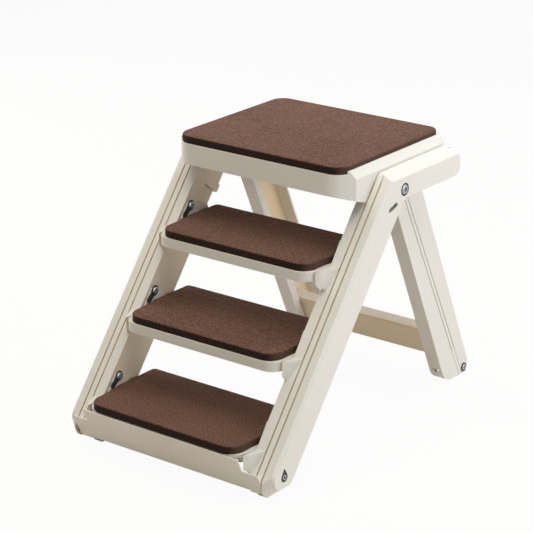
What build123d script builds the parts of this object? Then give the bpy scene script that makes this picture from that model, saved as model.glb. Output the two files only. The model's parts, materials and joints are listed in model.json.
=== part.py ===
from build123d import *
import math
import os

os.makedirs("parts", exist_ok=True)

# Folding four-step pet stairs in moulded plastic, standing open.
# The origin is on the floor under the middle, +Y points to the back, +X to the right side.

# Angles, in degrees
stileLean = 38.2         # side stiles lean back going up
legLean = 24.8           # rear legs lean forward going up
panelLean = 25.0         # kick panel leans back going down

# Heights of the walking surfaces, in millimetres
platformHeight = 490.0
upperHeight = 343.6
middleHeight = 218.1
lowerHeight = 94.3

# Front edge and depth of each mat
platformFront = -77.3
platformDepth = 296.0
upperFront = -146.0
upperDepth = 163.0
middleFront = -234.6
middleDepth = 170.0
lowerFront = -336.8
lowerDepth = 177.0

# Side frames
innerHalf = 162.0        # centre plane to the inner face of a stile
stileFace = -278.0       # front plane of the stiles, along its own normal
stileDepth = 72.0
armTop = 464.6
armBottom = 411.0
armEnd = 231.7
soleHeight = 12.0
cornerRadius = 9.0
endRadius = 34.0
endLowRadius = 17.0
crotchRadius = 14.0
heelRadius = 8.0
toeRadius = 21.0
shoulderStart = 34.0     # inner face to where the sole starts to rise
shoulderMid = 46.0       # inner face to the start of the outer bevel
sideWidth = 51.0         # inner face to the outermost face
bevelInset = 5.0
soleMidInset = 10.0
soleInset = 13.8
rearMidInset = 12.0
rearInset = 20.0
underShare = 0.4         # the arm's lower edge draws in less than the rear
endShare = 0.6
roofStart = 24.0         # inner face to the start of the slope on top of the arm
roofDrop = 9.1           # fall of that slope to the outermost face
frameWall = 3.5
cavityStart = 12.0
cavityEnd = 34.0
cavityDeep = 47.5        # the cavity's deeper part behind the bevel
grooveWidth = 2.8
grooveDepth = 2.0
firstGroove = 19.0       # inner face to the middle of the first groove
secondGroove = 31.2
ribPitch = 52.0
ribThickness = 2.6
overrun = 5.0            # how far cutters run past a face
slotLength = 26.0
slotWidth = 8.0
slotAhead = 52.0         # slot centre ahead of the arm's crotch
slotLift = 0.7
slotTilt = 16.0          # degrees

# Horns on the stiles that carry on the line of each tread
hornWidth = 18.0         # where a horn meets the stile
hornHeight = 34.0
hornNose = 24.0          # height of the upright nose
hornBack = 11.0          # nose behind the mat's front edge
hornNoseWidth = 6.5
hornNoseBack = 8.0
hornRadius = 9.0

# Mats and trays
matThickness = 13.0
matHalf = 158.0
matFrontHalf = 153.0
matTaperStart = 84.0
matTaperEnd = 44.0
matFrontRadius = 26.0
matRearRadius = 8.0
matEdge = 2.0
matClearance = 0.4
trayHalf = 160.6
trayWall = 3.0
traySkirt = 16.5
trayLip = 2.4            # how far a tray stands out past its mat
lowerTrayBack = 12.0     # the lowest tray stands behind the kick panel
noseThickness = 5.0      # thin front edge of the lowest tray
noseGaps = 7             # its distance from the mat's front, in gaps of the kick panel
trayFrontRadius = 28.0
trayRearRadius = 9.0
trayRibDepth = 11.0
trayRibCount = 5
trayHeelLength = 16.0    # slope under the rear edge, clear of the folded legs
trayHeelHeight = 9.5
earThickness = 2.4
earHalf = 33.0
earRadius = 13.0
earCrown = 17.0

# Platform
platformHalf = 180.0
platformMatHalf = 170.0
platformFrontRadius = 34.0
platformNoseHalf = 152.0  # centre plane to where the front starts to turn back
platformNoseRadius = 40.0
cheekBack = 30.0         # front edge of the cheeks behind the skirt's front
cornerShare = 0.41
platformRearRadius = 14.0
platformLip = 2.6
platformRearRim = 4.5
rimRise = 5.5            # rim above the seat of the mat
rimBevel = 8.0
rimBevelHeight = 14.5
skirtDrop = 36.0         # skirt below the seat of the mat, at the front
skirtRise = 0.33         # slope of the skirt's lower edge
platformRibDepth = 14.0
platformRibCount = 4
ribFieldHalf = 128.0
ribShares = (0.33, 0.67)

# Pivots, pins and link bars
pivotInset = 13.0        # behind the front plane of the stiles
pivotRise = 15.6         # above the mat
pivotBore = 3.05
boltRadius = 3.0
boltHeadRadius = 6.8
boltHeadHeight = 3.8
boltReach = 22.0         # into the stile
bossRadius = 8.0
pinBack = 40.0           # link pin behind its tread pivot
pinDrop = 14.6
pinRadius = 3.0
pinBore = 3.08
pinHeadRadius = 3.9
pinHeadHeight = 2.4
barWidth = 35.5
barThickness = 8.0
barZone = 39.7
barClearance = 0.6
barTravel = 28.0
barTopReach = 36.0       # bar above the upper link pin
rebateDepth = 9.2

# Rear legs
legFace = 241.6          # front plane of the legs, along its own normal
legDepth = 77.0
legOuter = 165.0
legInner = 138.3
legWall = 3.4
legLip = 16.0
legSole = 3.2
legToeRadius = 38.0
legHeelRadius = 16.4
pivotY = 42.2
pivotHeight = 434.3
headRadius = 22.0
headBoss = 14.0
headSweep = 62.0         # recess round the pivot that the leg's upper part needs
legBoltRecess = 2.8
legBoltRecessRadius = 10.4
headFall = 34.0
headRear = 20.0
headTopShare = 0.75
neckShare = 0.6
legBoltRadius = 4.0
legBoltBore = 4.05
legBoltHead = 8.6
legBoltHeadHeight = 4.4
nutRadius = 7.5
nutHeight = 5.0
recessClearance = 0.6
beadHalf = 4.2
beadGroove = 1.9
beadDepth = 1.1
beadSkew = 16.0
beadBack = 45.5
drainWidth = 17.0
drainHeight = 9.0
drainRise = 22.0

# Crossbar between the legs
barFace = 18.7           # behind the front plane of the legs
barDepth = 20.0
barLow = 52.0            # lower and upper edge above the floor, on the bar's front face
barHigh = 105.0
barWall = 3.2

# Kick panel
panelTop = 80.0
panelBottom = 18.0
panelStep = 56.0
panelHalf = 192.6
panelThickness = 3.0
panelAhead = 4.0         # panel in front of the lowest mat
panelGap = 0.4
panelRibDepth = 9.0

# Feet
frontPadWidth = 16.0
frontPadLength = 34.0
frontPadBack = 5.0       # pad's middle behind its bolt
tongueWidth = 17.0
tongueThickness = 6.0
tongueRise = 41.0
footBoltRise = 44.0
footBoltForward = 58.0
footBossRadius = 6.5
rearPadLength = 43.8
rearPadWidth = 22.0
toeBoltRise = 13.4
toeBoltBack = 66.9
footBoltRadius = 2.5
footBoltBore = 2.55
footBoltHead = 5.6
footBoltHeadHeight = 2.6
footRecess = 2.0
footRecessRadius = 7.2
footRecessPoint = 14.0

domeShare = 0.6
socketShare = 0.45
socketSides = 6
crossRibCount = 4

# Screws that hold the platform on the arms
screwRadius = 1.75
screwBore = 1.8
screwHead = 3.2
screwHeadHeight = 2.2
screwLength = 7.5
screwHalf = 177.3        # centre plane to a screw
screwPlaces = (40.0, 140.0, 190.0)

treads = {
    "upper": (upperHeight, upperFront, upperDepth),
    "middle": (middleHeight, middleFront, middleDepth),
    "lower": (lowerHeight, lowerFront, lowerDepth),
}

sinStile = math.sin(math.radians(stileLean))
cosStile = math.cos(math.radians(stileLean))
sinLeg = math.sin(math.radians(legLean))
cosLeg = math.cos(math.radians(legLean))
stileBack = stileFace + stileDepth
outerHalf = innerHalf + sideWidth


def stilePoint(back, along):
    """Side view point from the stile's own axes."""
    return (back * cosStile + along * sinStile, along * cosStile - back * sinStile)


def stileAlong(back, height):
    return (height + back * sinStile) / cosStile


def stileAt(back, height):
    """Side view point on a plane of the stile at a height above the floor."""
    return stilePoint(back, stileAlong(back, height))


def legPoint(back, along):
    return (back * cosLeg - along * sinLeg, back * sinLeg + along * cosLeg)


def legAt(back, height):
    return legPoint(back, (height - back * sinLeg) / cosLeg)


def pivotOf(name):
    height = treads[name][0] + pivotRise
    return stileAt(stileFace + pivotInset, height)


def pinOf(name):
    y, z = pivotOf(name)
    dy, dz = stilePoint(pinBack, -pinDrop)
    return (y + dy, z + dz)


def sideFace(points, radii):
    return make_face(FilletPolyline(*points, radius=radii, close=True))


def slab(face, start, end):
    """Side view face pulled across the stairs from one X to another."""
    return extrude(Plane.YZ.offset(start) * face, amount=end - start)


def rodX(y, z, radius, start, end):
    return slab(Pos(y, z) * Circle(radius), start, end)


def planFace(points, radii):
    return make_face(FilletPolyline(*points, radius=radii, close=True))


def raised(face, low, high):
    return extrude(Plane.XY.offset(low) * face, amount=high - low)


def mirrored(shape):
    return mirror(shape, about=Plane.YZ)


def solidsOf(*shapes):
    return Compound(children=[s for shape in shapes for s in shape.solids()])


def save(shape, name):
    shape.label = name
    export_step(shape, "parts/" + name + ".step")


# Side frame: stile and arm in one moulding

def frameOutline(front, rear, sole, aft):
    """Outline of stile and arm, drawn in at the front and top, the rear, the sole and the arm's end."""
    face = stileFace + front
    back = stileBack - rear
    top = armTop - front
    bottom = armBottom + min(rear, rear * underShare)
    low = soleHeight + sole
    end = armEnd - aft
    points = [
        stileAt(face, low),
        stileAt(face, top),
        (end, top),
        (end, bottom),
        stileAt(back, bottom),
        stileAt(back, low),
    ]
    least = grooveDepth
    radii = [
        toeRadius - front,
        max(cornerRadius - front, least),
        endRadius - aft * endShare,
        endLowRadius - aft * (1 - endShare) / 2,
        crotchRadius + max(rear, 0) * underShare,
        heelRadius,
    ]
    return sideFace(points, radii)


def frameShell():
    flat = frameOutline(0, 0, 0, 0)
    body = slab(flat, innerHalf, innerHalf + shoulderStart)
    stations = [
        (shoulderStart, frameOutline(0, 0, 0, 0)),
        (shoulderMid, frameOutline(0, rearMidInset, soleMidInset, rearMidInset)),
        (sideWidth, frameOutline(bevelInset, rearInset, soleInset, rearInset)),
    ]
    sections = [Plane.YZ.offset(innerHalf + x) * face for x, face in stations]
    return body + loft(sections, ruled=True)


def roof(drop):
    """Region above the slope on top of the arm, or above a lower copy of that slope."""
    slope = roofDrop / (sideWidth - roofStart)
    start = innerHalf + roofStart
    end = outerHalf + overrun
    pts = [
        (start - overrun, armTop - drop + overrun * slope),
        (end, armTop - drop - (end - start) * slope),
        (end, armTop + overrun),
        (start - overrun, armTop + overrun),
    ]
    face = Plane.XZ.offset(-armEnd - overrun) * make_face(Polyline(*pts, close=True))
    return extrude(face, amount=armEnd - platformFront)


def frameCavity():
    near = slab(frameOutline(frameWall, -overrun, frameWall, frameWall),
                innerHalf + cavityStart, innerHalf + cavityEnd)
    deep = slab(frameOutline(bevelInset + frameWall, -overrun, soleInset + frameWall, rearInset + frameWall),
                innerHalf + cavityEnd - matEdge, innerHalf + cavityDeep)
    return near - roof(frameWall), deep - roof(frameWall)


def frameGrooves():
    ring = frameOutline(0, 0, 0, 0) - frameOutline(grooveDepth, 0, 0, grooveDepth)
    cuts = []
    for middle in (firstGroove, secondGroove):
        start = innerHalf + middle - grooveWidth / 2
        cuts.append(slab(ring, start, start + grooveWidth))
    return cuts


def frameRibs(start, end, rear):
    """Cross ribs in the open back of the stile and of the arm, between two distances from the inner face."""
    start = innerHalf + start
    end = innerHalf + end
    face = stileFace + frameWall / 2
    back = stileBack - rear - ribThickness
    under = armBottom + rear * underShare + ribThickness
    low = stileAlong(stileBack, soleHeight)
    top = stileAlong(stileBack, armBottom)
    count = int((top - low) / ribPitch)
    ribs = []
    for i in range(1, count):
        along = low + i * ribPitch
        pts = [
            stilePoint(face, along),
            stilePoint(face, along + ribThickness),
            stilePoint(back, along + ribThickness),
            stilePoint(back, along),
        ]
        ribs.append(slab(make_face(Polyline(*pts, close=True)), start, end))
    armStart = stileAt(stileBack, armBottom)[0]
    for i in range(1, int((armEnd - rearInset - armStart) / ribPitch) + 1):
        y = armStart + i * ribPitch
        pts = [
            (y, under),
            (y + ribThickness, under),
            (y + ribThickness, armTop - frameWall / 2),
            (y, armTop - frameWall / 2),
        ]
        ribs.append(slab(make_face(Polyline(*pts, close=True)), start, end))
    return ribs


def barRebate():
    """Recess for the link bar along the rear inner edge, with room for its travel."""
    front = stileBack - barZone
    low = stileAlong(stileFace + pivotInset, pivotOf("lower")[1]) - pinDrop - barWidth / 2 - barClearance
    high = stileAlong(stileFace + pivotInset, pivotOf("upper")[1]) - pinDrop + barTopReach + barTravel
    pts = [
        stilePoint(front, low),
        stilePoint(front, high),
        stilePoint(stileBack + overrun, high),
        stilePoint(stileBack + overrun, low),
    ]
    face = make_face(FilletPolyline(*pts, radius=[barWidth / 2, 0, 0, 0], close=True))
    return slab(face, innerHalf - overrun, innerHalf + rebateDepth)


def headRecess():
    """Shallow recess in the inner face where the leg's head turns."""
    reach = 2 * legDepth
    arm = frameOutline(frameWall, -overrun, 0, frameWall)
    above = Pos(pivotY, armBottom + reach / 2) * Rectangle(2 * reach, reach)
    wide = above & (Pos(pivotY, pivotHeight) * Circle(reach))
    area = arm & (wide + Pos(pivotY, pivotHeight) * Circle(headSweep))
    return slab(area, innerHalf - overrun, legOuter + recessClearance)


def horn(name):
    """Wedge that carries on a tread's line on the stile: narrow at its nose, wide at the stile."""
    height, front, depth = treads[name]
    top = height - matThickness
    low = top - hornHeight
    nose = front + hornBack
    pts = [
        (nose, top),
        stileAt(stileFace + overrun, top),
        stileAt(stileFace + overrun, low),
        (nose, top - hornNose),
    ]
    body = slab(sideFace(pts, [matEdge, 0, 0, hornRadius]), innerHalf, innerHalf + hornWidth)
    root = stileAt(stileFace, top)[0]
    plan = planFace(
        [
            (innerHalf, root + hornHeight),
            (innerHalf, nose),
            (innerHalf + hornNoseWidth, nose + hornNoseBack),
            (innerHalf + hornWidth, root),
            (innerHalf + hornWidth, root + hornHeight),
        ],
        [0, 0, hornRadius, 0, 0],
    )
    return body & raised(plan, low - overrun, top + overrun)


def panelLine(height, depth):
    """Side view point on the kick panel, by height and by depth behind its outer face."""
    y = lowerFront - panelAhead + (panelTop - height) * math.tan(math.radians(panelLean))
    return (y + depth / math.cos(math.radians(panelLean)), height)


def panelClearance():
    pts = [
        panelLine(panelStep + panelGap, panelThickness + panelGap),
        panelLine(-overrun, panelThickness + panelGap),
        (lowerFront - lowerDepth, -overrun),
        (lowerFront - lowerDepth, panelStep + panelGap),
    ]
    face = make_face(Polyline(*pts, close=True))
    return slab(face, innerHalf - overrun, panelHalf + panelGap)


def lockSlot():
    """Slot through the outer wall at the crotch of stile and arm."""
    y, z = stileAt(stileBack, armBottom)
    shape = SlotOverall(slotLength, slotWidth).rotate(Axis.Z, slotTilt)
    return slab(Pos(y - slotAhead, z + slotLift) * shape, innerHalf + cavityStart, outerHalf + overrun)


def footBoltPlace():
    y, z = stileAt(stileBack, footBoltRise)
    return (y - footBoltForward, z)


def sideFrame():
    body = frameShell()
    for cut in frameGrooves():
        body -= cut
    for hollow in frameCavity():
        body -= hollow
    for rib in frameRibs(cavityStart - matEdge, cavityEnd, 0) + frameRibs(cavityEnd, cavityDeep, rearInset):
        body += rib
    body -= roof(0)
    for name in treads:
        y, z = pivotOf(name)
        body += rodX(y, z, bossRadius, innerHalf + frameWall, innerHalf + boltReach)
        body += horn(name)
    body += rodX(pivotY, pivotHeight, headBoss, legOuter + recessClearance, innerHalf + cavityDeep + matEdge)
    fy, fz = footBoltPlace()
    body += rodX(fy, fz, footBossRadius, tonguePlace()[1] + matClearance, innerHalf + cavityDeep + matEdge)
    body -= barRebate()
    body -= headRecess()
    body -= panelClearance()
    body -= lockSlot()
    for name in treads:
        y, z = pivotOf(name)
        body -= rodX(y, z, pivotBore, innerHalf - overrun, innerHalf + boltReach + overrun)
    body -= rodX(pivotY, pivotHeight, legBoltBore, innerHalf - overrun, outerHalf + overrun)
    body -= rodX(fy, fz, footBoltBore, innerHalf + cavityStart, outerHalf + overrun)
    body -= rodX(pivotY, pivotHeight, legBoltRecessRadius, outerHalf - legBoltRecess, outerHalf + overrun)
    body -= slab(footRecessFace(), outerHalf - footRecess, outerHalf + overrun)
    body -= tongueSlot()
    return body


# Feet of the stiles

def tongueFace(gap):
    y, z = footBoltPlace()
    half = tongueWidth / 2 + gap
    pts = [
        (y - half, soleHeight - overrun - gap),
        (y + half, soleHeight - overrun - gap),
        (y + half, soleHeight + tongueRise + gap),
        (y - half, soleHeight + tongueRise + gap),
    ]
    return make_face(Polyline(*pts, close=True))


def tonguePlace():
    end = innerHalf + frameWall + frontPadWidth
    return (end - tongueThickness, end)


def tongueSlot():
    start, end = tonguePlace()
    return slab(tongueFace(matClearance), start - matClearance, end + matClearance)


def footRecessFace():
    """Drop-shaped recess round the foot's bolt."""
    y, z = footBoltPlace()
    tip = (y, z + footRecessPoint)
    left = (y - footRecessRadius * cosStile, z + footRecessRadius * sinStile)
    right = (y + footRecessRadius * cosStile, z + footRecessRadius * sinStile)
    return make_face(Polyline(left, tip, right, close=True)) + Pos(y, z) * Circle(footRecessRadius)


def frontFoot():
    y, z = footBoltPlace()
    start, end = tonguePlace()
    middle = y + frontPadBack
    pts = [
        (middle - frontPadLength / 2, soleHeight),
        (middle + frontPadLength / 2, soleHeight),
        (middle + frontPadLength / 2 - matEdge, 0),
        (middle - frontPadLength / 2 + heelRadius, 0),
    ]
    sole = slab(sideFace(pts, [matEdge, matEdge, matEdge, heelRadius / 2]), innerHalf + frameWall,
                innerHalf + frameWall + frontPadWidth)
    body = sole + slab(tongueFace(0), start, end)
    return body - rodX(y, z, footBoltBore, innerHalf, outerHalf)


def panHead(y, z, face, radius, height):
    """Low domed bolt head that stands out from a face towards +X."""
    head = rodX(y, z, radius, face, face + height)
    rim = head.edges().filter_by(GeomType.CIRCLE).sort_by(Axis.X)[-1]
    head = fillet(rim, height * domeShare)
    return head - socket(y, z, face + height, radius * socketShare, height / 2)


def socket(y, z, face, radius, depth):
    return slab(Pos(y, z) * RegularPolygon(radius, socketSides), face - depth, face + overrun)


def footBolt():
    y, z = footBoltPlace()
    start = tonguePlace()[0] - matClearance
    face = outerHalf - footRecess
    shank = rodX(y, z, footBoltRadius, start, face)
    return shank + panHead(y, z, face, footBoltHead, footBoltHeadHeight)


# Treads

def matPlan(height, front, depth):
    rear = front + depth
    pts = [
        (matHalf, rear),
        (matHalf, front + matTaperStart),
        (matFrontHalf, front + matTaperEnd),
        (matFrontHalf, front),
        (-matFrontHalf, front),
        (-matFrontHalf, front + matTaperEnd),
        (-matHalf, front + matTaperStart),
        (-matHalf, rear),
    ]
    bend = matTaperEnd
    radii = [matRearRadius, bend, bend, matFrontRadius, matFrontRadius, bend, bend, matRearRadius]
    return planFace(pts, radii)


def softened(body):
    top = body.faces().sort_by(Axis.Z)[-1]
    return fillet(top.edges(), matEdge)


def treadMat(name):
    height, front, depth = treads[name]
    return softened(raised(matPlan(height, front, depth), height - matThickness, height))


def trayPlan(name, inset):
    height, front, depth = treads[name]
    half = trayHalf - inset
    lip = -lowerTrayBack if name == "lower" else trayLip
    low = front - lip + inset
    high = front + depth + trayLip - inset
    pts = [(half, high), (half, low), (-half, low), (-half, high)]
    radii = [trayRearRadius, trayFrontRadius, trayFrontRadius, trayRearRadius]
    return planFace(pts, [max(r - inset, matEdge) for r in radii])


def trayRibs(front, depth, seat):
    """Ribs under a tray: evenly spaced across, with one along the middle."""
    half = trayHalf - trayWall / 2
    middle = seat - trayWall / 2 - trayRibDepth / 2
    ribs = []
    for i in range(trayRibCount):
        x = -half + 2 * half * (i + 1) / (trayRibCount + 1)
        ribs.append(Pos(x, front + depth / 2, middle) * Box(trayWall / 2, depth, trayRibDepth))
    ribs.append(Pos(0, front + depth / 2, middle) * Box(2 * half, trayWall / 2, trayRibDepth))
    return ribs


def trayHeel(front, depth, seat):
    """Wedge taken off under the rear edge of a tray."""
    rear = front + depth + trayLip
    low = seat - traySkirt
    pts = [
        (rear - trayHeelLength, low),
        (rear, low + trayHeelHeight),
        (rear + overrun, low + trayHeelHeight),
        (rear + overrun, low - overrun),
        (rear - trayHeelLength, low - overrun),
    ]
    return slab(make_face(Polyline(*pts, close=True)), -trayHalf - overrun, trayHalf + overrun)


def lowerNose(front, seat):
    """Thin front edge of the lowest tray, out to the kick panel."""
    half = trayHalf
    ahead = front + panelGap * noseGaps
    rear = front + lowerTrayBack + trayFrontRadius
    pts = [(half, rear), (half, ahead), (-half, ahead), (-half, rear)]
    plan = planFace(pts, [0, trayFrontRadius, trayFrontRadius, 0])
    return raised(plan, seat - noseThickness, seat)


def ear(name):
    """Lobe that stands up at the end of a tray and takes the pivot bolt."""
    y, z = pivotOf(name)
    seat = treads[name][0] - matThickness
    pts = [(y - earHalf, seat - trayWall), (y + earHalf, seat - trayWall), (y, z + earCrown)]
    lobe = sideFace(pts, [0, 0, earRadius])
    return slab(lobe, trayHalf - earThickness, trayHalf)


def tray(name):
    height, front, depth = treads[name]
    seat = height - matThickness
    body = raised(trayPlan(name, 0), seat - traySkirt, seat)
    body -= raised(trayPlan(name, trayWall), seat - traySkirt - overrun, seat - trayWall)
    start = front + (lowerTrayBack if name == "lower" else 0)
    for rib in trayRibs(start, front + depth - start, seat):
        body += rib
    body -= trayHeel(front, depth, seat)
    py, pz = pivotOf(name)
    ly, lz = pinOf(name)
    lobe = ear(name)
    if name == "lower":
        body += lowerNose(front, seat)
    body += lobe
    body += mirrored(lobe)
    body -= rodX(py, pz, pivotBore, -trayHalf - overrun, trayHalf + overrun)
    body -= rodX(ly, lz, pinBore, trayHalf - trayWall - matClearance, trayHalf + overrun)
    body -= rodX(ly, lz, pinBore, -trayHalf - overrun, -trayHalf + trayWall + matClearance)
    return body


def pivotBolt(name):
    y, z = pivotOf(name)
    face = trayHalf - earThickness - barClearance / 2
    shank = rodX(y, z, boltRadius, face, innerHalf + boltReach)
    head = mirrored(panHead(y, z, -face, boltHeadRadius, boltHeadHeight))
    return shank + head


def linkPin(name):
    y, z = pinOf(name)
    face = trayHalf - trayWall
    shank = rodX(y, z, pinRadius, face - pinHeadHeight, innerHalf + rebateDepth - barClearance)
    return shank + rodX(y, z, pinHeadRadius, face - pinHeadHeight, face)


def linkBar():
    front = stileBack - barZone + barClearance
    pins = [pinOf(name) for name in ("upper", "lower")]
    aside = stileFace + pivotInset + pinBack
    high = stileAlong(aside, pins[0][1]) + barTopReach
    low = stileAlong(aside, pins[1][1]) - barWidth / 2
    pts = [
        stilePoint(front, low),
        stilePoint(front, high),
        stilePoint(front + barWidth, high),
        stilePoint(front + barWidth, low),
    ]
    endRound = barWidth / 2 - barClearance
    start = innerHalf + barClearance / 2
    body = slab(sideFace(pts, [endRound, heelRadius, heelRadius, endRound]), start, start + barThickness)
    for name in treads:
        y, z = pinOf(name)
        body -= rodX(y, z, pinBore, innerHalf - overrun, innerHalf + rebateDepth + overrun)
    return body


# Platform

def platformPlan(inset):
    half = platformHalf - inset
    front = platformFront - platformLip + inset
    rear = platformFront + platformDepth + platformRearRim - inset
    cheek = platformFront - platformLip + cheekBack + inset * cornerShare
    nose = platformNoseHalf - inset * cornerShare
    round = platformRearRadius - inset
    bend = platformNoseRadius - inset
    pts = [(half, rear), (half, cheek), (nose, front), (-nose, front), (-half, cheek), (-half, rear)]
    return planFace(pts, [round, 0, bend, bend, 0, round])


def platformMatPlan(gap):
    half = platformMatHalf + gap
    front = platformFront - gap
    rear = platformFront + platformDepth + gap
    pts = [(half, rear), (half, front), (-half, front), (-half, rear)]
    inner = platformFrontRadius - (platformHalf - platformMatHalf) + platformLip * 2
    radii = [platformRearRadius, inner, inner, platformRearRadius]
    return planFace(pts, radii)


def platform():
    seat = platformHeight - matThickness
    rim = seat + rimRise
    deck = raised(platformPlan(0), armTop, rim)
    sides = deck.faces().sort_by(Axis.Z)[-1].edges().filter_by(Axis.Y)
    deck = chamfer(sides, rimBevelHeight, rimBevel)
    deck -= raised(platformMatPlan(matClearance), seat, rim + overrun)
    front = platformFront - platformLip
    opening = Pos(0, front, seat + rimRise) * Box(2 * platformMatHalf, 2 * platformFrontRadius, 2 * rimRise)
    deck -= opening
    depth = platformDepth + platformLip + platformRearRim - 2 * frameWall
    well = planFace(
        [
            (innerHalf - barClearance, front + depth + frameWall),
            (innerHalf - barClearance, front + frameWall),
            (-innerHalf + barClearance, front + frameWall),
            (-innerHalf + barClearance, front + depth + frameWall),
        ],
        [platformRearRadius, platformFrontRadius, platformFrontRadius, platformRearRadius],
    )
    deck -= raised(well, armTop - overrun, seat - frameWall)
    return deck + skirt() + rearApron() + platformRibs()


def skirt():
    """Deep front of the platform with its cheeks, down to the stiles."""
    seat = platformHeight - matThickness
    low = seat - skirtDrop - hornWidth
    ring = platformPlan(0) - platformPlan(frameWall)
    wall = raised(ring, low, armTop + matEdge)
    ahead = [
        stileAt(stileFace, low - overrun),
        stileAt(stileFace, armTop),
        (stileAt(stileFace, armTop)[0], armTop + overrun),
        (platformFront - platformDepth, armTop + overrun),
        (platformFront - platformDepth, low - overrun),
    ]
    wall &= slab(make_face(Polyline(*ahead, close=True)), -platformHalf, platformHalf)
    under = [
        (platformFront - platformLip - overrun, seat - skirtDrop + overrun * skirtRise),
        (0, seat - skirtDrop + (platformFront - platformLip) * skirtRise),
        (0, low - overrun),
        (platformFront - platformLip - overrun, low - overrun),
    ]
    return wall - slab(make_face(Polyline(*under, close=True)), -outerHalf, outerHalf)


def rearApron():
    rear = platformFront + platformDepth + platformRearRim
    half = legInner - rimBevel
    return Pos(0, rear - frameWall / 2, armTop - platformRibDepth / 2) * Box(
        2 * half, frameWall, platformRibDepth + matEdge)


def platformRibs():
    seat = platformHeight - matThickness
    start = platformFront + frameWall
    depth = platformDepth - frameWall
    top = seat - frameWall / 2
    ribs = Part()
    for i in range(platformRibCount):
        x = -ribFieldHalf + ribFieldHalf * (2 * i + 1) / platformRibCount
        ribs += Pos(x, start + depth / 2, top - platformRibDepth / 2) * Box(
            ribThickness, depth, platformRibDepth)
    for share in ribShares:
        ribs += Pos(0, start + depth * share, top - platformRibDepth / 2) * Box(
            2 * ribFieldHalf, ribThickness, platformRibDepth)
    return ribs


def platformMat():
    seat = platformHeight - matThickness
    return softened(raised(platformMatPlan(0), seat, platformHeight))


# Rear legs and crossbar

def legOutline(inset):
    front = legFace + inset
    back = legFace + legDepth - inset
    aside = pivotY * cosLeg + pivotHeight * sinLeg
    along = pivotHeight * cosLeg - pivotY * sinLeg
    low = legSole + inset
    pts = [
        legAt(front, low),
        legPoint(front, along - headFall),
        legPoint(aside - headRadius + inset, along - headRadius * neckShare),
        legPoint(aside - headRadius + inset, along + headRadius - inset),
        legPoint(aside + headRadius, along + headRadius * headTopShare - inset),
        legPoint(back, along - headRear),
        legAt(back, low),
    ]
    radii = [
        legToeRadius - inset,
        headRadius,
        headRadius / 2,
        headRadius - inset - matEdge,
        headRadius,
        headRadius,
        legHeelRadius - inset,
    ]
    return sideFace(pts, radii)


def legBeads():
    """Pair of fine grooves down the outer face, with a bead between them."""
    aside = legFace + beadBack
    top = pivotHeight * cosLeg - pivotY * sinLeg - headRadius
    low = -toeBoltBack
    cuts = []
    for side in (-1, 1):
        middle = aside + side * beadHalf
        pts = [
            legPoint(middle - beadGroove / 2, low),
            legPoint(middle + beadGroove / 2, low),
            legPoint(middle + beadGroove / 2 - beadSkew, top),
            legPoint(middle - beadGroove / 2 - beadSkew, top),
        ]
        cuts.append(slab(make_face(Polyline(*pts, close=True)), legOuter - beadDepth, legOuter + overrun))
    return cuts


def legDrain():
    """Triangular opening low in the front wall."""
    middle = (legInner + legOuter) / 2
    tri = make_face(Polyline(
        (middle - drainWidth / 2, drainHeight), (middle + drainWidth / 2, drainHeight), (middle, 0), close=True))
    cut = extrude(Plane.XZ * tri, amount=legWall * 2 + overrun, both=True)
    y, z = legAt(legFace, drainRise)
    return Pos(0, y, z) * cut


def toeBoltPlace():
    y, z = legAt(legFace, toeBoltRise)
    return (y + toeBoltBack, z)


def leg():
    body = slab(legOutline(0), legInner, legOuter)
    inside = legOutline(legWall)
    behindLip = inside & behind(legFace + legLip)
    body -= slab(behindLip, legInner - overrun, legInner + legWall)
    body -= slab(inside, legInner + legWall, legOuter - legWall)
    body += rodX(pivotY, pivotHeight, headBoss, legInner, legOuter)
    for cut in legBeads():
        body -= cut
    ty, tz = toeBoltPlace()
    body -= legDrain()
    body -= rodX(ty, tz, footBoltBore, legOuter - legWall - overrun, legOuter + overrun)
    body -= rodX(pivotY, pivotHeight, legBoltBore, legInner - overrun, legOuter + overrun)
    start, end = rearTongue()
    body -= slab(rearTongueFace(matClearance), start - matClearance, end + matClearance / 2)
    return body


def behind(plane):
    """Side view region behind a plane of the leg."""
    far = legFace + 2 * legDepth
    reach = pivotHeight + legDepth
    pts = [
        legPoint(plane, -reach),
        legPoint(plane, reach),
        legPoint(far, reach),
        legPoint(far, -reach),
    ]
    return make_face(Polyline(*pts, close=True))


def rearTongue():
    end = legOuter - legWall - matClearance / 2
    return (end - tongueThickness, end)


def rearTongueFace(gap):
    y, z = toeBoltPlace()
    half = footBoltHead + matEdge + gap
    pts = [
        (y - half, legSole - gap - matEdge),
        (y + half, legSole - gap - matEdge),
        (y + half, z + half),
        (y - half, z + half),
    ]
    return make_face(Polyline(*pts, close=True))


def rearFoot():
    y, z = toeBoltPlace()
    start, end = rearTongue()
    pts = [
        (y - rearPadLength / 2, legSole),
        (y + rearPadLength / 2 - heelRadius, legSole),
        (y + rearPadLength / 2 - heelRadius, 0),
        (y - rearPadLength / 2, 0),
    ]
    pad = slab(sideFace(pts, [0, 0, matEdge, matEdge]), end - rearPadWidth, end)
    body = pad + slab(rearTongueFace(0), start, end)
    return body - rodX(y, z, footBoltBore, legInner, legOuter)


def toeBolt():
    y, z = toeBoltPlace()
    shank = rodX(y, z, footBoltRadius, rearTongue()[0], legOuter)
    return shank + panHead(y, z, legOuter, footBoltHead, footBoltHeadHeight)


def legPivotBolt():
    face = outerHalf - legBoltRecess
    shank = rodX(pivotY, pivotHeight, legBoltRadius, legInner - nutHeight, face)
    return shank + panHead(pivotY, pivotHeight, face, legBoltHead, legBoltHeadHeight)


def legNut():
    face = Pos(pivotY, pivotHeight) * (RegularPolygon(nutRadius, socketSides) - Circle(legBoltBore))
    return slab(face, legInner - nutHeight - matClearance, legInner - matClearance)


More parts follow.
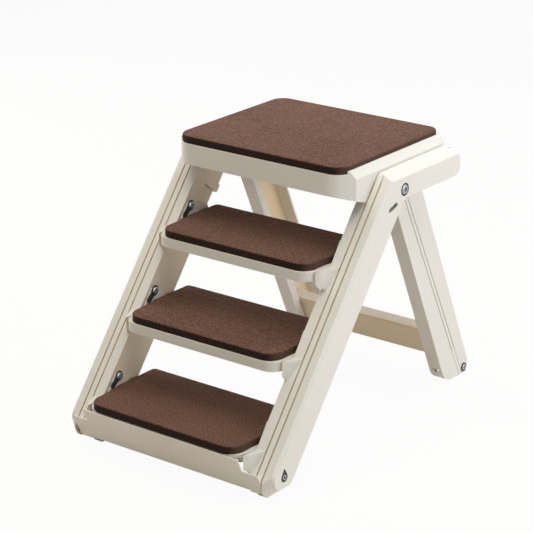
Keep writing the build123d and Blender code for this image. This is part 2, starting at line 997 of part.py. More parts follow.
def crossbar():
    front = legFace + barFace
    low = legAt(front, barLow)
    high = legAt(front, barHigh)
    dy, dz = legPoint(barDepth, 0)
    outer = [low, high, (high[0] + dy, high[1] + dz), (low[0] + dy, low[1] + dz)]
    half = legOuter - legWall - matClearance / 2
    body = slab(sideFace(outer, [matEdge, matEdge, 0, 0]), -half, half)
    inLow = legAt(front + barWall, barLow)
    inHigh = legAt(front + barWall, barHigh)
    uy, uz = legPoint(0, barWall)
    wy, wz = legPoint(barDepth + overrun, 0)
    inner = [
        (inLow[0] + uy, inLow[1] + uz),
        (inHigh[0] - uy, inHigh[1] - uz),
        (inHigh[0] - uy + wy, inHigh[1] - uz + wz),
        (inLow[0] + uy + wy, inLow[1] + uz + wz),
    ]
    core = slab(make_face(Polyline(*inner, close=True)), -half + barWall, half - barWall)
    body -= core
    for i in range(crossRibCount):
        x = -half + 2 * half * (i + 1) / (crossRibCount + 1)
        body += slab(sideFace(outer, [matEdge, matEdge, 0, 0]), x - barWall / 2, x + barWall / 2)
    return body


# Kick panel across the feet of the stiles

def kickPanel():
    wide = [
        panelLine(panelStep, 0),
        panelLine(panelBottom, 0),
        panelLine(panelBottom, panelThickness),
        panelLine(panelStep, panelThickness),
    ]
    tall = [
        panelLine(panelTop, 0),
        panelLine(panelStep - matEdge, 0),
        panelLine(panelStep - matEdge, panelThickness),
        panelLine(panelTop, panelThickness),
    ]
    narrow = innerHalf - barClearance
    body = slab(make_face(Polyline(*wide, close=True)), -panelHalf, panelHalf)
    body += slab(make_face(Polyline(*tall, close=True)), -narrow, narrow)
    rib = [
        panelLine(panelBottom + barWall, panelThickness / 2),
        panelLine(panelBottom, panelThickness / 2),
        panelLine(panelBottom, panelThickness + panelRibDepth),
        panelLine(panelBottom + barWall, panelThickness + panelRibDepth),
    ]
    return body + slab(make_face(Polyline(*rib, close=True)), -narrow, narrow)


# Screws up through the arms into the platform

def platformScrew(y):
    face = armTop - frameWall
    shank = raised(Pos(screwHalf, y) * Circle(screwRadius), face, face + screwLength)
    return shank + raised(Pos(screwHalf, y) * Circle(screwHead), face - screwHeadHeight, face)


def screwHoles(body):
    for y in screwPlaces:
        hole = raised(Pos(screwHalf, y) * Circle(screwBore), armTop - 2 * frameWall, armTop - frameWall + screwLength)
        body -= hole
        body -= mirrored(hole)
    return body


def build():
    right = screwHoles(sideFrame())
    save(right, "side_frame_right")
    save(mirrored(right), "side_frame_left")
    foot = frontFoot()
    save(foot, "front_foot_right")
    save(mirrored(foot), "front_foot_left")
    bolt = footBolt()
    save(solidsOf(bolt, mirrored(bolt)), "front_foot_bolts")
    for name in treads:
        save(tray(name), "tread_" + name)
        save(treadMat(name), "mat_" + name)
        bolt = pivotBolt(name)
        save(solidsOf(bolt, mirrored(bolt)), "pivot_bolts_" + name)
        pin = linkPin(name)
        save(solidsOf(pin, mirrored(pin)), "link_pins_" + name)
    bar = linkBar()
    save(bar, "link_bar_right")
    save(mirrored(bar), "link_bar_left")
    save(screwHoles(platform()), "platform")
    screws = [platformScrew(y) for y in screwPlaces]
    save(solidsOf(*screws, *[mirrored(screw) for screw in screws]), "platform_screws")
    save(platformMat(), "mat_platform")
    rightLeg = leg()
    save(rightLeg, "rear_leg_right")
    save(mirrored(rightLeg), "rear_leg_left")
    save(crossbar(), "rear_crossbar")
    pad = rearFoot()
    save(pad, "rear_foot_right")
    save(mirrored(pad), "rear_foot_left")
    bolt = toeBolt()
    save(solidsOf(bolt, mirrored(bolt)), "rear_foot_bolts")
    bolt = legPivotBolt()
    save(solidsOf(bolt, mirrored(bolt)), "leg_pivot_bolts")
    nut = legNut()
    save(solidsOf(nut, mirrored(nut)), "leg_pivot_nuts")
    save(kickPanel(), "kick_panel")


build()
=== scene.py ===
import json
import math

import bmesh
import bpy
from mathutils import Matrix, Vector


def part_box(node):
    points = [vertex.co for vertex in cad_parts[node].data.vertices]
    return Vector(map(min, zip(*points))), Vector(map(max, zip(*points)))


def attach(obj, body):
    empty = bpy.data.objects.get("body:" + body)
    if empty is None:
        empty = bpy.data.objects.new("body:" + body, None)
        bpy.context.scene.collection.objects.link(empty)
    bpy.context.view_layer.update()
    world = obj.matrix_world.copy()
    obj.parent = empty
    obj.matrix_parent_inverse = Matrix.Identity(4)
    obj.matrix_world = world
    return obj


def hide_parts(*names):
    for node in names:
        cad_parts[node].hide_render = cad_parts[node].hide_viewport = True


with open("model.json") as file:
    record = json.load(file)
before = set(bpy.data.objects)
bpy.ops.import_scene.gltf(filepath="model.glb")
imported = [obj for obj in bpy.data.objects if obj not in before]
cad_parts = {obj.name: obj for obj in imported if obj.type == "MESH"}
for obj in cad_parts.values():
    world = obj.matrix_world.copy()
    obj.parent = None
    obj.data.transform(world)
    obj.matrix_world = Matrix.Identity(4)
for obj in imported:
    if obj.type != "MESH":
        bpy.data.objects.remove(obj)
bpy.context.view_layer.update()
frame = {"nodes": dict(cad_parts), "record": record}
nodes = frame["nodes"]
print("frame loaded:", len(nodes), "nodes")

mm = 0.001


# Shader maths

class Wire:
    # a value in a material that can be used in plain sums
    def __init__(self, paint, socket):
        self.paint = paint
        self.socket = socket

    def combine(self, operation, *values):
        return self.paint.add("Math", {"operation": operation}, dict(enumerate(values))).out()

    def __add__(self, other):
        return self.combine("ADD", self, other)

    def __radd__(self, other):
        return self.combine("ADD", other, self)

    def __sub__(self, other):
        return self.combine("SUBTRACT", self, other)

    def __rsub__(self, other):
        return self.combine("SUBTRACT", other, self)

    def __mul__(self, other):
        return self.combine("MULTIPLY", self, other)

    def __rmul__(self, other):
        return self.combine("MULTIPLY", other, self)

    def __abs__(self):
        return self.combine("ABSOLUTE", self)

    def atMost(self, limit):
        return self.combine("MINIMUM", self, limit)

    def step(self, start, end):
        # 0 at the start, 1 at the end, smooth between
        return self.paint.add(
            "MapRange",
            {"interpolation_type": "SMOOTHSTEP"},
            {"Value": self, "From Min": start, "From Max": end},
        ).out()


class Added:
    # a node that has just been added
    def __init__(self, paint, node):
        self.paint = paint
        self.node = node

    def out(self, name=0):
        return Wire(self.paint, self.node.outputs[name])


class Paint:
    # the nodes of a material or of the world
    def __init__(self, owner):
        owner.use_nodes = True
        self.owner = owner
        self.tree = owner.node_tree
        self.tree.nodes.clear()

    def add(self, kind, settings=None, inputs=None):
        node = self.tree.nodes.new("ShaderNode" + kind)
        for key, value in (settings or {}).items():
            setattr(node, key, value)
        for key, value in (inputs or {}).items():
            socket = node.inputs[key]
            if isinstance(value, Wire):
                self.tree.links.new(value.socket, socket)
            elif socket.type == "RGBA":
                socket.default_value = (*value, 1)
            else:
                socket.default_value = value
        return Added(self, node)

    def axis(self, source, letter):
        # one axis of the Object coordinates, or of the way that a face looks
        where = self.add("TexCoord").out(source)
        return self.add("SeparateXYZ", {}, {0: where}).out(letter)

    def noise(self, scale, detail=2.0, roughness=0.5, size=(1, 1, 1)):
        where = self.add("TexCoord").out("Object")
        place = self.add("Mapping", {}, {"Vector": where, "Scale": size}).out()
        return self.add(
            "TexNoise", {}, {"Vector": place, "Scale": scale, "Detail": detail, "Roughness": roughness}
        ).out()

    def blend(self, share, first, second):
        return self.add("Mix", {"data_type": "RGBA"}, {0: share, 6: first, 7: second}).out(2)

    def bump(self, height, strength, distance):
        return self.add("Bump", {}, {"Height": height, "Strength": strength, "Distance": distance}).out()

    def finish(self, **sockets):
        # the shader's sockets are named with underscores for spaces
        named = {key.replace("_", " "): value for key, value in sockets.items()}
        shader = self.add("BsdfPrincipled", {}, named)
        self.add("OutputMaterial", {}, {"Surface": shader.out()})
        return self.owner


def newPaint(name):
    return Paint(bpy.data.materials.new(name))


def inShares(noises, parts):
    # sum of the noises, each times its share
    return sum(noise * part for noise, part in zip(noises, parts))


def band(value, middle, half, soft):
    # 1 inside a narrow band, 0 outside
    return abs(value - middle).step(half + soft, half - soft)


# Cream moulded plastic, with a fine spark-eroded grain and a faint cloudiness

creamSettings = {
    "pale": (0.845, 0.820, 0.778),
    "deep": (0.815, 0.785, 0.732),
    "cloud": {"scale": 5.0, "detail": 3.0},
    "speck": {"scale": 420.0},
    "toneShares": (0.7, 0.3),     # cloud, speck
    "paleToDeep": (0.32, 0.68),
    "grain": {"scale": 1500.0, "roughness": 0.6},
    "soft": {"scale": 60.0},
    "heightShares": (0.8, 0.2),   # grain, soft
    "grainStrength": 0.35,
    "grainDepth": 0.03 * mm,
    "roughness": 0.40,
    "speckRoughness": 0.06,
    "cloudRoughness": 0.05,
    "specular": 0.42,
}


def creamPlastic(name, paintedShading=None):
    # the given function adds painted light and shade to one moulding's colour: paler places stand in for
    # light falling on it, warmer and darker ones for its shade
    s = creamSettings
    p = newPaint(name)
    cloud, speck, grain, soft = (p.noise(**s[key]) for key in ("cloud", "speck", "grain", "soft"))
    deepness = inShares((cloud, speck), s["toneShares"]).step(*s["paleToDeep"])
    colour = p.blend(deepness, s["pale"], s["deep"])
    if paintedShading:
        colour = paintedShading(p, colour)
    height = inShares((grain, soft), s["heightShares"])
    return p.finish(
        Base_Color=colour,
        Roughness=s["roughness"] + speck * s["speckRoughness"] + cloud * s["cloudRoughness"],
        Specular_IOR_Level=s["specular"],
        Normal=p.bump(height, s["grainStrength"], s["grainDepth"]),
    )


# Painted shade: walls that look towards the middle of the stairs are warmer, standing in for the warm bounced
# light in their shade

# painted light: a paler cream for faces that catch more light; painted shade: a warm tan for faces in warm
# bounced shade
paintedLightTone = (0.93, 0.91, 0.87)
paintedShadeTone = (0.90, 0.72, 0.50)
inwardShadeSettings = {
    "tone": (0.88, 0.75, 0.59),
    "share": 0.8,
    "inward": (-0.060, -0.110),   # place along x in metres, times the way a face looks
}


def lookingInward(p):
    return (p.axis("Object", "X") * p.axis("Normal", "X")).step(*inwardShadeSettings["inward"])


def inwardPaintedShade(p, colour):
    return p.blend(lookingInward(p) * inwardShadeSettings["share"], colour, inwardShadeSettings["tone"])


# Stiles: painted light makes the sloping front faces paler, and painted shade gives the two long grooves a
# darker bed

stileSettings = {
    "frontY": (-0.4, -0.7),
    "frontZ": (0.3, 0.5),
    "grooveTone": (0.55, 0.43, 0.27),
    "grooveShare": 0.85,
    "places": (0.1810, 0.1932),
    "half": 1.4 * mm,
    "soft": 0.4 * mm,
    "top": 0.455,
    "fade": 6 * mm,
}


# painted shade in the bed of the stile's two grooves, fading out towards the top
def groovePaintedShade(p):
    s = stileSettings
    out = abs(p.axis("Object", "X"))
    first, second = (band(out, place, s["half"], s["soft"]) for place in s["places"])
    below = p.axis("Object", "Z").step(s["top"], s["top"] - s["fade"])
    return (first + second) * below * s["grooveShare"]


def stilePaintedShading(p, colour):
    s = stileSettings
    front = p.axis("Normal", "Y").step(*s["frontY"]) * p.axis("Normal", "Z").step(*s["frontZ"])
    colour = inwardPaintedShade(p, p.blend(front, colour, paintedLightTone))
    return p.blend(groovePaintedShade(p), colour, s["grooveTone"])


# Rear legs: painted shade gives a tan floor to the hollow of the inner side, and darkens two fine grooves
# outside

legSettings = {
    "hollow": (0.1395, 0.1405),    # the hollow's floor is further out than this
    "hollowShare": 0.95,
    "grooveTone": (0.50, 0.38, 0.30),
    "grooveShare": 0.7,
    "outside": (0.1635, 0.1637),
    "lean": math.radians(24.8),    # of the leg, from upright
    "back": 0.2871,                # line between the grooves at its low end, square to the leg
    "skew": 0.016,                 # how far that line drifts forwards on its way up
    "low": -0.0669,                # its low end, along the leg
    "length": 0.4215,
    "apart": 4.2 * mm,             # each groove's middle from that line
    "half": 0.95 * mm,
    "soft": 0.4 * mm,
}


def legPaintedShade(p, colour):
    s = legSettings
    out = abs(p.axis("Object", "X"))
    y, z = p.axis("Object", "Y"), p.axis("Object", "Z")
    hollow = lookingInward(p) * out.step(*s["hollow"]) * s["hollowShare"]
    back = y * math.cos(s["lean"]) + z * math.sin(s["lean"])
    along = z * math.cos(s["lean"]) - y * math.sin(s["lean"])
    away = back - ((along - s["low"]) * (-s["skew"] / s["length"]) + s["back"])
    first, second = (band(away, side * s["apart"], s["half"], s["soft"]) for side in (1, -1))
    grooves = (first + second) * out.step(*s["outside"]) * s["grooveShare"]
    return p.blend(grooves, p.blend(hollow, colour, paintedShadeTone), s["grooveTone"])


# Crossbar: painted light makes the top pale, and painted shade makes the faces that look forwards tan

barSettings = {"topZ": (0.5, 0.8), "forwardY": (-0.2, -0.7), "forwardShare": 0.8}


def barPaintedShading(p, colour):
    s = barSettings
    colour = p.blend(p.axis("Normal", "Z").step(*s["topZ"]), colour, paintedLightTone)
    forward = p.axis("Normal", "Y").step(*s["forwardY"]) * s["forwardShare"]
    return p.blend(forward, colour, paintedShadeTone)


# Brown foam matting: a napped top and darker cut edges; painted light makes the cut edges that look towards
# +x brown

mattingSettings = {
    "top": (0.068, 0.032, 0.021),
    "worn": (0.200, 0.104, 0.075),
    "side": (0.010, 0.005, 0.003),
    "sideFleck": (0.030, 0.015, 0.010),
    "paintedLitFlank": (0.075, 0.040, 0.028),
    "upward": (0.22, 0.80),
    "sideways": (0.35, 0.9),
    "fine": {"scale": 700.0, "detail": 3.0, "roughness": 0.7},
    "coarse": {"scale": 360.0, "roughness": 0.6},
    "cloud": {"scale": 9.0, "detail": 3.0},
    "toneShares": (0.3, 0.6, 0.1),   # fine, coarse, cloud
    "darkToWorn": (0.38, 0.62),
    "napShares": (0.7, 0.3),         # fine, coarse
    "napStrength": 0.5,
    "napDepth": 0.7 * mm,
    "roughness": 0.86,
    "fineRoughness": 0.1,
    "specular": 0.18,
    "sheen": 0.06,
    "sheenRoughness": 0.5,
    "sheenTint": (0.75, 0.6, 0.5),
}


def matting(name):
    s = mattingSettings
    p = newPaint(name)
    fine, coarse, cloud = (p.noise(**s[key]) for key in ("fine", "coarse", "cloud"))
    tone = inShares((fine, coarse, cloud), s["toneShares"]).step(*s["darkToWorn"])
    top = p.blend(tone, s["top"], s["worn"])
    cut = p.blend(tone, s["side"], s["sideFleck"])
    side = p.blend(p.axis("Normal", "X").step(*s["sideways"]), cut, s["paintedLitFlank"])
    return p.finish(
        Base_Color=p.blend(p.axis("Normal", "Z").step(*s["upward"]), side, top),
        Roughness=s["roughness"] + fine * s["fineRoughness"],
        Specular_IOR_Level=s["specular"],
        Sheen_Weight=s["sheen"],
        Sheen_Roughness=s["sheenRoughness"],
        Sheen_Tint=s["sheenTint"],
        Normal=p.bump(inShares((fine, coarse), s["napShares"]), s["napStrength"], s["napDepth"]),
    )


# Steel: zinc plated and lightly turned for the bolts, darkened for the lock's tongue, whose dark colour
# partly paints the shade of the lock's slot

steelSettings = {
    "plated_steel": {
        "dark": (0.30, 0.31, 0.32),
        "light": (0.44, 0.45, 0.46),
        "cloud": {"scale": 160.0, "detail": 3.0},
        "roughness": 0.22,
        "cloudRoughness": 0.16,
        "turned": {"scale": 2600.0, "detail": 1.0, "size": (0.05, 1, 1)},
        "turnedStrength": 0.2,
        "turnedDepth": 0.02 * mm,
    },
    "dark_steel": {
        "dark": (0.10, 0.10, 0.10),
        "light": (0.24, 0.23, 0.22),
        "cloud": {"scale": 300.0, "detail": 3.0},
        "roughness": 0.3,
        "cloudRoughness": 0.2,
    },
}


def steelFinish(name):
    s = steelSettings[name]
    p = newPaint(name)
    cloud = p.noise(**s["cloud"])
    sockets = {
        "Base_Color": p.blend(cloud, s["dark"], s["light"]),
        "Metallic": 1.0,
        "Roughness": s["roughness"] + cloud * s["cloudRoughness"],
    }
    if "turned" in s:
        sockets["Normal"] = p.bump(p.noise(**s["turned"]), s["turnedStrength"], s["turnedDepth"])
    return p.finish(**sockets)


# Rubber: grey for the feet; black for the rings, plates and drop round the fasteners, a painted shade
# standing in for their dark recesses and slots

rubberSettings = {
    "grey_rubber": {
        "dark": (0.36, 0.33, 0.29),
        "light": (0.44, 0.41, 0.37),
        "cloud": {"scale": 40.0, "detail": 3.0},
        "grain": {"scale": 900.0, "detail": 3.0, "roughness": 0.7},
        "grainStrength": 0.4,
        "grainDepth": 0.08 * mm,
        "roughness": 0.72,
        "grainRoughness": 0.15,
    },
    "shade_black": {
        "dark": (0.008, 0.008, 0.008),
        "light": (0.020, 0.019, 0.018),
        "cloud": {"scale": 1200.0, "roughness": 0.6},
        "grain": {"scale": 1200.0, "roughness": 0.6},
        "grainStrength": 0.3,
        "grainDepth": 0.04 * mm,
        "roughness": 0.55,
        "grainRoughness": 0.2,
    },
}


def rubberFinish(name):
    s = rubberSettings[name]
    p = newPaint(name)
    grain = p.noise(**s["grain"])
    return p.finish(
        Base_Color=p.blend(p.noise(**s["cloud"]), s["dark"], s["light"]),
        Roughness=s["roughness"] + grain * s["grainRoughness"],
        Normal=p.bump(grain, s["grainStrength"], s["grainDepth"]),
    )


finishes = {
    "cream_plastic": creamPlastic("cream_plastic"),
    "brown_matting": matting("brown_matting"),
    "steel": steelFinish("plated_steel"),
    "grey_rubber": rubberFinish("grey_rubber"),
}
# the dark pieces round the fasteners get these: black for painted shade in recesses and slots, dark steel for
# the lock's tongue
fittingFinishes = {
    "steel": steelFinish("dark_steel"),
    "grey_rubber": rubberFinish("shade_black"),
}
# cream mouldings whose colour carries painted light and shade
special = {"rear_crossbar": creamPlastic("bar_plastic_painted_shading", barPaintedShading)}
for pair, name, paintedShading in (
    ("side_frame", "stile_plastic", stilePaintedShading),
    ("rear_leg", "leg_plastic", legPaintedShade),
    ("link_bar", "link_plastic", inwardPaintedShade),
):
    special[pair + "_left"] = special[pair + "_right"] = creamPlastic(name, paintedShading)
print("finishes made")


# Carried-over nodes: their finish, and small rounded edges on the mouldings

edgeSettings = {
    "width": 0.7 * mm,
    "segments": 2,
    "angle": math.radians(28),
    "flat": math.radians(0.6),
    "weld": 0.004 * mm,
}


def roundEdges(piece):
    s = edgeSettings
    weld = piece.modifiers.new("weld", "WELD")
    weld.merge_threshold = s["weld"]
    flat = piece.modifiers.new("flat", "DECIMATE")
    flat.decimate_type = "DISSOLVE"
    flat.angle_limit = s["flat"]
    bevel = piece.modifiers.new("bevel", "BEVEL")
    bevel.width = s["width"]
    bevel.segments = s["segments"]
    bevel.limit_method = "ANGLE"
    bevel.angle_limit = s["angle"]
    bevel.harden_normals = False
    bevel.use_clamp_overlap = True
    normal = piece.modifiers.new("normal", "WEIGHTED_NORMAL")
    normal.keep_sharp = True


slots = {row["node"]: row["material_slot"] for row in frame["record"]["subparts"]}
for name, piece in nodes.items():
    piece.data.materials.clear()
    piece.data.materials.append(special.get(name, finishes[slots[name]]))
    if slots[name] == "cream_plastic":
        roundEdges(piece)
print("carried-over nodes finished")


# Editing of new pieces

smoothAngle = math.radians(35)
squarely = 0.9   # how straight a face looks along an axis to count


def clearSelection():
    if bpy.context.object and bpy.context.object.mode != "OBJECT":
        bpy.ops.object.mode_set(mode="OBJECT")
    bpy.ops.object.select_all(action="DESELECT")


def openNew():
    # puts the new primitive's place in its mesh and opens it for editing
    piece = bpy.context.object
    bpy.ops.object.transform_apply(location=True, rotation=True, scale=True)
    bpy.ops.object.mode_set(mode="EDIT")
    return piece


def selectWhere(piece, kind, test):
    # selects the edges or faces that pass the test, and nothing else
    bpy.ops.mesh.select_mode(type={"edges": "EDGE", "faces": "FACE"}[kind])
    bpy.ops.mesh.select_all(action="DESELECT")
    mesh = bmesh.from_edit_mesh(piece.data)
    for item in getattr(mesh, kind):
        if test(item):
            item.select_set(True)
    mesh.select_flush_mode()


def bevelSelected(width, segments, profile=0.5):
    bpy.ops.mesh.bevel(offset=width, offset_type="OFFSET", segments=segments, profile=profile)


# Mats: foam sheets with a soft rolled top edge

stepMat = {"frontRadius": 26 * mm, "rearRadius": 8 * mm, "taper": 5 * mm}
matSettings = {
    "mat_platform": {"body": "frame", "frontRadius": 29 * mm, "rearRadius": 24 * mm, "taper": 0},
    "mat_upper": {"body": "step_upper", **stepMat},
    "mat_middle": {"body": "step_middle", **stepMat},
    "mat_lower": {"body": "step_lower", **stepMat},
}
matShape = {
    "taperStart": 84 * mm,   # from the front edge
    "taperEnd": 44 * mm,
    "taperCuts": 5,
    "edgeRadius": 2.9 * mm,
    "edgeSegments": 5,
    "edgeProfile": 0.55,
    "cornerSegments": 10,
    "tallEdge": 2 * mm,
    "near": 0.1 * mm,
}


def narrowFront(mat, front, taper):
    # a step's mat is a little narrower towards the front
    start, end = matShape["taperStart"], matShape["taperEnd"]
    for cut in range(matShape["taperCuts"]):
        y = front + end + cut / (matShape["taperCuts"] - 1) * (start - end)
        bpy.ops.mesh.select_all(action="SELECT")
        bpy.ops.mesh.bisect(plane_co=(0, y, 0), plane_no=(0, 1, 0))
    for v in bmesh.from_edit_mesh(mat.data).verts:
        t = (start - (v.co.y - front)) / (start - end)
        t = min(max(t, 0), 1)
        v.co.x -= math.copysign(taper * t * t * (3 - 2 * t), v.co.x)


def isCorner(edge, y):
    # an upright edge of the sheet at the given end
    a, b = (v.co for v in edge.verts)
    upright = abs(a.z - b.z) > matShape["tallEdge"] and (a.xy - b.xy).length < matShape["near"]
    return upright and abs(a.y - y) < matShape["near"]


def makeMat(node, s):
    low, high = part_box(node)
    clearSelection()
    bpy.ops.mesh.primitive_cube_add(size=1, location=(low + high) / 2, scale=high - low)
    mat = openNew()
    mat.name = node + "_foam"
    if s["taper"]:
        narrowFront(mat, low.y, s["taper"])
    for y, radius in ((low.y, s["frontRadius"]), (high.y, s["rearRadius"])):
        selectWhere(mat, "edges", lambda edge: isCorner(edge, y))
        bevelSelected(radius, matShape["cornerSegments"])
    selectWhere(mat, "faces", lambda face: face.normal.z > squarely)
    bpy.ops.mesh.region_to_loop()
    bevelSelected(matShape["edgeRadius"], matShape["edgeSegments"], matShape["edgeProfile"])
    bpy.ops.object.mode_set(mode="OBJECT")
    bpy.ops.object.shade_smooth_by_angle(angle=smoothAngle)
    mat.data.materials.append(finishes["brown_matting"])
    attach(mat, s["body"])
    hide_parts(node)


for node, s in matSettings.items():
    makeMat(node, s)
print("mats made")


# Dark pieces round the fasteners, on both sides, in millimetres: black rings, plates and a drop that paint
# the shade of recesses and slots, and the lock's dark tongue:
# at is the middle's y and z, and x runs from one side of the fitting to the other

def middleOf(s):
    return [value * mm for value in (sum(s["x"]) / 2, *s["at"])]


def depthOf(s):
    low, high = s["x"]
    return (high - low) * mm


def addDisc(s, radius, sides):
    clearSelection()
    bpy.ops.mesh.primitive_cylinder_add(
        vertices=sides, radius=radius * mm, depth=depthOf(s),
        location=middleOf(s), rotation=(0, math.pi / 2, 0))
    return openNew()


def selectCaps(piece):
    selectWhere(piece, "faces", lambda face: abs(face.normal.x) > squarely)


def settle(piece, name, body, slot):
    # makes the mirrored half and hands the piece over
    bpy.ops.object.mode_set(mode="OBJECT")
    piece.name = name
    other = piece.modifiers.new("other side", "MIRROR")
    other.use_mirror_merge = False
    bpy.ops.object.modifier_apply(modifier=other.name)
    bpy.ops.object.mode_set(mode="EDIT")
    bpy.ops.mesh.select_all(action="SELECT")
    bpy.ops.mesh.normals_make_consistent(inside=False)
    bpy.ops.object.mode_set(mode="OBJECT")
    bpy.ops.object.shade_smooth_by_angle(angle=smoothAngle)
    piece.data.materials.append(fittingFinishes[slot])
    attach(piece, body)


stepRing = {"outer": 9.2, "inner": 6.9, "x": (-158.1, -157.0)}
ringSettings = {
    "leg_pivot_seal": {
        "body": "frame", "at": (42.2, 434.3), "outer": 10.9, "inner": 8.4, "x": (210.2, 213.6),
    },
    "toe_bolt_seal": {
        "body": "rear_legs", "at": (326.9, 13.4), "outer": 8.0, "inner": 5.6, "x": (164.6, 166.4),
    },
    "upper_bolt_seal": {"body": "step_upper", "at": (-54.55, 359.2), **stepRing},
    "middle_bolt_seal": {"body": "step_middle", "at": (-153.31, 233.7), **stepRing},
    "lower_bolt_seal": {"body": "step_lower", "at": (-250.73, 109.9), **stepRing},
}
ringShape = {"sides": 40, "bevel": 0.25 * mm, "bevelSegments": 2, "sharp": 1.0}   # sharp is in radians


# a black ring filling a bolt's recess, painted shade round the bolt head
def makeRing(name, s):
    ring = addDisc(s, s["outer"], ringShape["sides"])
    selectCaps(ring)
    bpy.ops.mesh.inset(thickness=(s["outer"] - s["inner"]) * mm, depth=0)
    bpy.ops.mesh.bridge_edge_loops()
    selectWhere(ring, "edges", lambda edge: edge.is_manifold and edge.calc_face_angle(0) > ringShape["sharp"])
    bevelSelected(ringShape["bevel"], ringShape["bevelSegments"])
    settle(ring, name, s["body"], "grey_rubber")


for name, s in ringSettings.items():
    makeRing(name, s)

# black plates beside the step bolts and behind the lock's slot paint the shadow and shade there; the lock's
# dark tongue is partly a real tongue and partly painted shade
stepSlot = {"slot": "grey_rubber", "length": 24, "width": 11, "tilt": 36, "x": (-158.1, -157.1)}
slotSettings = {
    "lock_slot_seal": {
        "body": "frame", "slot": "grey_rubber", "at": (9.3, 411.7),
        "length": 31, "width": 12, "tilt": 16, "x": (207.3, 209.3),
    },
    "lock_tongue": {
        "body": "frame", "slot": "steel", "at": (8.0, 411.4),
        "length": 15, "width": 4, "tilt": 20, "x": (209.3, 211.2),
    },
    "upper_slot_seal": {"body": "step_upper", "at": (-65.0, 350.6), **stepSlot},
    "middle_slot_seal": {"body": "step_middle", "at": (-163.7, 225.1), **stepSlot},
    "lower_slot_seal": {"body": "step_lower", "at": (-261.1, 101.6), **stepSlot},
}
slotShape = {"roundShare": 0.98, "endSegments": 8, "bevel": 0.3 * mm, "bevelSegments": 2, "near": 0.01 * mm}


def isAlongX(edge):
    a, b = (v.co.yz for v in edge.verts)
    return (a - b).length < slotShape["near"]


def makeSlot(name, s):
    # a bar with full round ends
    clearSelection()
    bpy.ops.mesh.primitive_cube_add(
        size=1, location=middleOf(s), rotation=(math.radians(s["tilt"]), 0, 0),
        scale=(depthOf(s), s["length"] * mm, s["width"] * mm))
    bar = openNew()
    selectWhere(bar, "edges", isAlongX)
    bevelSelected(s["width"] / 2 * mm * slotShape["roundShare"], slotShape["endSegments"])
    selectCaps(bar)
    bevelSelected(slotShape["bevel"], slotShape["bevelSegments"])
    settle(bar, name, s["body"], s["slot"])


for name, s in slotSettings.items():
    makeSlot(name, s)

dropSettings = {
    "at": (-285.5, 44.0), "x": (211.0, 213.5), "radius": 7.9, "tip": 15.0, "sides": 48,
    "bevel": 0.1 * mm, "bevelSegments": 1,
}


def makeShadeDrop():
    # drop-shaped black sheet behind the bolt of a front foot, with its tip up: painted shade in the foot's
    # recess
    s = dropSettings
    shadeDrop = addDisc(s, s["radius"], s["sides"])
    y, z = middleOf(s)[1:]
    slope = math.asin(s["radius"] / s["tip"])
    for v in bmesh.from_edit_mesh(shadeDrop.data).verts:
        if v.co.z - z > s["radius"] * mm * math.sin(slope):
            v.co.z = z + s["tip"] * mm - abs(v.co.y - y) / math.tan(slope)
    selectCaps(shadeDrop)
    bevelSelected(s["bevel"], s["bevelSegments"])
    settle(shadeDrop, "foot_bolt_shade_drop", "frame", "grey_rubber")


makeShadeDrop()
print("seals and fittings made")


# Camera and lamps

cameraSettings = {
    "place": (1.8955, -2.5686, 1.4317),
    "target": (-0.04998, 0.0173, 0.25048),
    "lens": 135.084,
    "sensor": 36,
    "reach": 50,
}
lampSettings = {
    "overhead": {"place": (0.2, -0.5, 2.6), "size": 2.4, "power": 39, "colour": (1.0, 0.97, 0.84)},
    "back": {"place": (0.4, 1.8, 2.2), "size": 1.6, "power": 25, "colour": (0.86, 0.93, 1.0)},
    "right": {"place": (2.6, 0.3, 1.1), "size": 2.2, "power": 35, "colour": (0.83, 0.89, 1.0)},
    "left": {"place": (-2.4, 0.4, 1.2), "size": 1.6, "power": 30, "colour": (1.0, 0.93, 0.88)},
    "front": {"place": (-0.4, -2.0, 2.4), "size": 1.4, "power": 6, "colour": (1.0, 0.94, 0.84)},
    "low": {"place": (2.2, 1.5, 0.9), "size": 1.2, "power": 9, "colour": (1.0, 0.93, 0.80)},
}
lampTarget = (0, 0, 0.25)


def setUp(name, data, place, target):
    # adds a camera or a lamp that looks at the target
    item = bpy.data.objects.new(name, data)
    bpy.context.scene.collection.objects.link(item)
    item.location = place
    item.rotation_mode = "QUATERNION"
    item.rotation_quaternion = (Vector(target) - Vector(place)).to_track_quat("-Z", "Y")
    return item


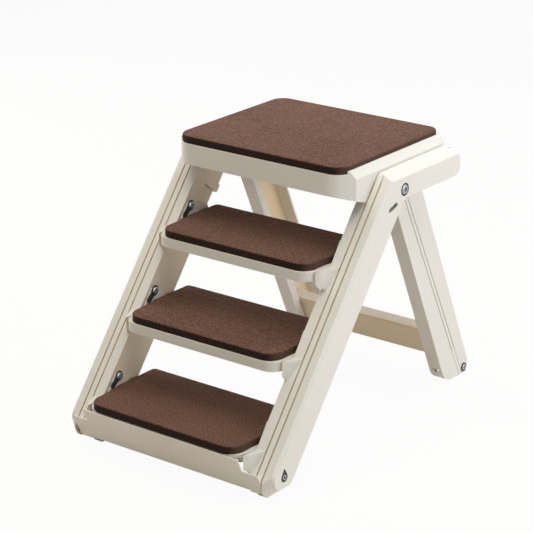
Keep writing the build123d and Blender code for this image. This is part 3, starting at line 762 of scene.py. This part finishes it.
def makeCamera():
    s = cameraSettings
    data = bpy.data.cameras.new("camera")
    data.lens = s["lens"]
    data.sensor_width = s["sensor"]
    data.clip_end = s["reach"]
    bpy.context.scene.camera = setUp("camera", data, s["place"], s["target"])


def makeLamp(name, s):
    data = bpy.data.lights.new(name, "AREA")
    data.shape = "SQUARE"
    data.size = s["size"]
    data.energy = s["power"]
    data.color = s["colour"]
    setUp(name, data, s["place"], lampTarget)


# World and floor: white where they are seen, and warm and soft where they only light the stairs

white = (1.0, 1.0, 1.0)
worldSettings = {"ambient": (1.0, 0.84, 0.65), "strength": 0.04}
floorSettings = {
    "size": 30,
    "mottle": {"scale": 3.0},
    "dark": (0.80, 0.74, 0.64),
    "light": (0.83, 0.77, 0.67),
    "whiteShare": 0.95,
}


def seenDirectly(p):
    rays = p.add("LightPath")
    seen = rays.out("Is Camera Ray") + rays.out("Is Glossy Ray") + rays.out("Is Transmission Ray")
    return seen.atMost(1.0)


def makeWorld():
    s = worldSettings
    world = bpy.data.worlds.new("studio")
    bpy.context.scene.world = world
    p = Paint(world)
    ambient = p.add("Background", {}, {"Color": s["ambient"], "Strength": s["strength"]}).out()
    backdrop = p.add("Background", {}, {"Color": white}).out()
    mixed = p.add("MixShader", {}, {0: seenDirectly(p), 1: ambient, 2: backdrop}).out()
    p.add("OutputWorld", {}, {"Surface": mixed})


def makeFloor():
    s = floorSettings
    clearSelection()
    bpy.ops.mesh.primitive_plane_add(size=s["size"], location=(0, 0, 0))
    floor = bpy.context.object
    floor.name = "floor"
    p = newPaint("floor")
    colour = p.blend(p.noise(**s["mottle"]), s["dark"], s["light"])
    paper = p.add("BsdfDiffuse", {}, {"Color": colour}).out()
    glow = p.add("Emission", {}, {"Color": white}).out()
    mixed = p.add("MixShader", {}, {0: seenDirectly(p) * s["whiteShare"], 1: paper, 2: glow}).out()
    p.add("OutputMaterial", {}, {"Surface": mixed})
    floor.data.materials.append(p.owner)


makeCamera()
for name, s in lampSettings.items():
    makeLamp(name, s)
makeWorld()
makeFloor()
bpy.context.scene.view_settings.view_transform = "Standard"
print("camera, lamps and floor set")
